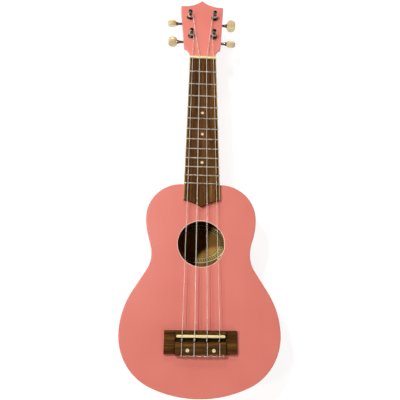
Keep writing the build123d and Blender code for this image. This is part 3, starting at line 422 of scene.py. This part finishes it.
def tube(form, centres, radius, sides=12):
    """A closed round tube along a run of points, narrowed at its two ends."""
    last = len(centres) - 1
    angles = [2 * math.pi * step / sides for step in range(sides)]
    rings = []
    side_on = Vector((0.0, 0.0, 1.0))
    for index, centre in enumerate(centres):
        along = (centres[min(index + 1, last)] - centres[max(index - 1, 0)]).normalized()
        side_on = (side_on - along * side_on.dot(along)).normalized()
        across = along.cross(side_on)
        size = radius if 0 < index < last else radius * TUBE_END_SHARE
        arms = [side_on * math.cos(angle) + across * math.sin(angle) for angle in angles]
        rings.append([form.verts.new(centre + arm * size) for arm in arms])
    for before, after in zip(rings, rings[1:]):
        for step in range(sides):
            following = (step + 1) % sides
            form.faces.new((before[step], before[following], after[following], after[step]))
    form.faces.new(list(reversed(rings[0])))
    form.faces.new(rings[-1])


def ring_on_axis(form, centre, axis, profile, sides=40):
    """A closed ring: a profile of (along, radius) pairs turned about an axis of unit length."""
    first = axis.orthogonal().normalized()
    loops = []
    for step in range(sides):
        arm = Quaternion(axis, 2 * math.pi * step / sides) @ first
        loops.append([form.verts.new(centre + axis * along + arm * radius) for along, radius in profile])
    for step in range(sides):
        here, following = loops[step], loops[(step + 1) % sides]
        for index in range(len(profile)):
            onward = (index + 1) % len(profile)
            form.faces.new((here[index], here[onward], following[onward], following[index]))


# Each string's knot is a few turns round the string in the bridge's channel, with sizes in metres, or in
# radii of the string where they are named so.
BLOCK_TOP = BODY_DEPTH + 0.008
BLOCK_FRONT_Y = -0.20506
BLOCK_BACK_Y = -0.21866
KNOT_TURNS = 2.5
KNOT_STEPS = 60
KNOT_GAP = 0.0009
KNOT_BASE = BODY_DEPTH + 0.0062
KNOT_SLOPE = 0.42
KNOT_REACH_RADII = 1.7
KNOT_PITCH_RADII = 2.3
KNOT_THICKNESS_RADII = 0.7


def knot_centres(x, radius):
    """The middle of the knot's thread, which climbs with the string from the block towards the saddle."""
    reach = radius * KNOT_REACH_RADII
    centres = []
    for step in range(KNOT_STEPS + 1):
        share = step / KNOT_STEPS
        angle = 2 * math.pi * KNOT_TURNS * share + math.pi / 2
        y = BLOCK_FRONT_Y + KNOT_GAP + share * KNOT_TURNS * radius * KNOT_PITCH_RADII
        middle = KNOT_BASE + KNOT_SLOPE * (y - BLOCK_FRONT_Y)
        centres.append(Vector((x + reach * math.cos(angle), y, middle + reach * math.sin(angle))))
    return centres


# Each string's loose end lies along the block's top rear edge, slightly waved.
END_STEPS = 30
END_START = 0.0012
END_SWAY = 0.00035
END_WAVES = 1.6
END_PHASE_PER_METRE = 300
END_ARCH = 0.0006
END_BEDDING_RADII = 0.7
END_THICKNESS_RADII = 0.9


def end_centres(x, radius, length):
    """The middle of the loose end, from the string's hole towards +X."""
    centres = []
    for step in range(END_STEPS + 1):
        share = step / END_STEPS
        sway = END_SWAY * math.sin(2 * math.pi * share * END_WAVES + x * END_PHASE_PER_METRE)
        y = BLOCK_BACK_Y - END_BEDDING_RADII * radius - sway
        z = BLOCK_TOP - END_ARCH + END_ARCH * math.sin(math.pi * share) + sway
        centres.append(Vector((x + END_START + length * share, y, z)))
    return centres


for name, (radius, x, end_length) in STRINGS.items():
    knot = bmesh.new()
    tube(knot, knot_centres(x, radius), radius * KNOT_THICKNESS_RADII)
    make_piece(f"string_{name}_knot", knot, "nylon", "instrument")
    end = bmesh.new()
    tube(end, end_centres(x, radius, end_length), radius * END_THICKNESS_RADII)
    make_piece(f"string_{name}_end", end, "nylon", "instrument")

# A plated sleeve on each knob's shaft, swelling into a ferrule round the button's collar. The profile's
# points are (distance along the shaft towards the knob, radius), from just inside the knob's inner end.
FERRULE_START = 0.0003
FERRULE_PROFILE = (
    (-0.0058, 0.00130),
    (-0.0058, 0.00165),
    (-0.0055, 0.00180),
    (-0.0020, 0.00185),
    (0.0000, 0.00225),
    (0.0012, 0.00285),
    (0.0018, 0.00285),
    (0.0021, 0.00265),
    (0.0021, 0.00215),
    (0.0000, 0.00195),
    (-0.0003, 0.00130),
)
for name in STRINGS:
    low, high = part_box(f"tuner_{name}_button")
    place = Vector(JOINTS[f"knob_turn_{name}"]["pos_m"])
    side = 1.0 if place.x > 0 else -1.0
    start = (low.x if side > 0 else high.x) + side * FERRULE_START
    ferrule = bmesh.new()
    ring_on_axis(ferrule, Vector((start, place.y, place.z)), Vector((side, 0.0, 0.0)), FERRULE_PROFILE)
    make_piece(f"tuner_{name}_ferrule", ferrule, "nickel", f"knob_{name}")


# ---------------------------------------------------------------- studio
def area_light(name, place, target, size, power, colour=WHITE):
    """A round lamp that faces its target."""
    lamp = bpy.data.lights.new(name, "AREA")
    lamp.shape = "DISK"
    lamp.size = size
    lamp.energy = power
    lamp.color = colour
    made = bpy.data.objects.new(name, lamp)
    made.location = place
    made.rotation_euler = (Vector(target) - Vector(place)).to_track_quat("-Z", "Y").to_euler()
    bpy.context.scene.collection.objects.link(made)


LIT_POINT = Vector((0.0, -0.06, 0.06))
WINDOW_PLACE = LIT_POINT + Vector((-0.42, 0.30, 1.0)) * 1.25
LAMP_PLACE = LIT_POINT + Vector((-0.68, -0.25, 1.0)) * 1.1
LAMP_COLOUR = (1.0, 0.95, 0.88)
area_light("window_light", WINDOW_PLACE, LIT_POINT, size=0.12, power=10.4)
area_light("lamp_light", LAMP_PLACE, LIT_POINT, size=0.12, power=5.2, colour=LAMP_COLOUR)
area_light("tail_fill", (0.35, -0.80, 0.60), (0.06, -0.24, 0.06), size=0.30, power=1.3)
area_light("head_fill", (-0.10, 0.50, 0.55), (0.0, 0.20, 0.05), size=0.15, power=1.2)


# How bright the air is at each height: (the direction's Z, the grey).
AIR_GREYS = ((0.05, 1.0), (0.28, 0.50), (0.46, 0.03))


def studio_air():
    """Bright round the horizon and dim overhead, as between white walls under a dark ceiling."""
    world = bpy.data.worlds.new("studio_air")
    world.use_nodes = True
    nodes, links = world.node_tree.nodes, world.node_tree.links
    direction = nodes.new("ShaderNodeTexCoord").outputs["Generated"]
    split = nodes.new("ShaderNodeSeparateXYZ")
    links.new(direction, split.inputs[0])
    ramp = nodes.new("ShaderNodeValToRGB")
    links.new(split.outputs["Z"], ramp.inputs["Fac"])
    elements = ramp.color_ramp.elements
    elements.new(0.5)
    for element, (height, grey) in zip(elements, AIR_GREYS):
        element.position = height
        element.color = (grey, grey, grey, 1.0)
    background = nodes["Background"]
    links.new(ramp.outputs["Color"], background.inputs["Color"])
    background.inputs["Strength"].default_value = 1.0
    return world


bpy.context.scene.world = studio_air()
bpy.context.scene.view_settings.view_transform = "Standard"

FLOOR_REACH = 20.0
floor_mesh = bpy.data.meshes.new("floor")
floor_form = bmesh.new()
bmesh.ops.create_grid(floor_form, x_segments=8, y_segments=8, size=FLOOR_REACH)
floor_form.to_mesh(floor_mesh)
floor_form.free()
floor = bpy.data.objects.new("floor", floor_mesh)
floor_mesh.materials.append(floor_finish("studio_floor"))
bpy.context.scene.collection.objects.link(floor)

# The camera looks down at the instrument from over its lower bout: metres, degrees and millimetres.
CAMERA_PLACE = (-0.0312, -0.2026, 0.5698)
CAMERA_TURN = (17.239, -3.482, 0.542)
CAMERA_LENS = 40.5
lens = bpy.data.cameras.new("camera")
lens.lens = CAMERA_LENS
lens.sensor_width = 36.0
lens.clip_start = 0.01
camera = bpy.data.objects.new("camera", lens)
camera.location = CAMERA_PLACE
camera.rotation_euler = [math.radians(angle) for angle in CAMERA_TURN]
bpy.context.scene.collection.objects.link(camera)
bpy.context.scene.camera = camera
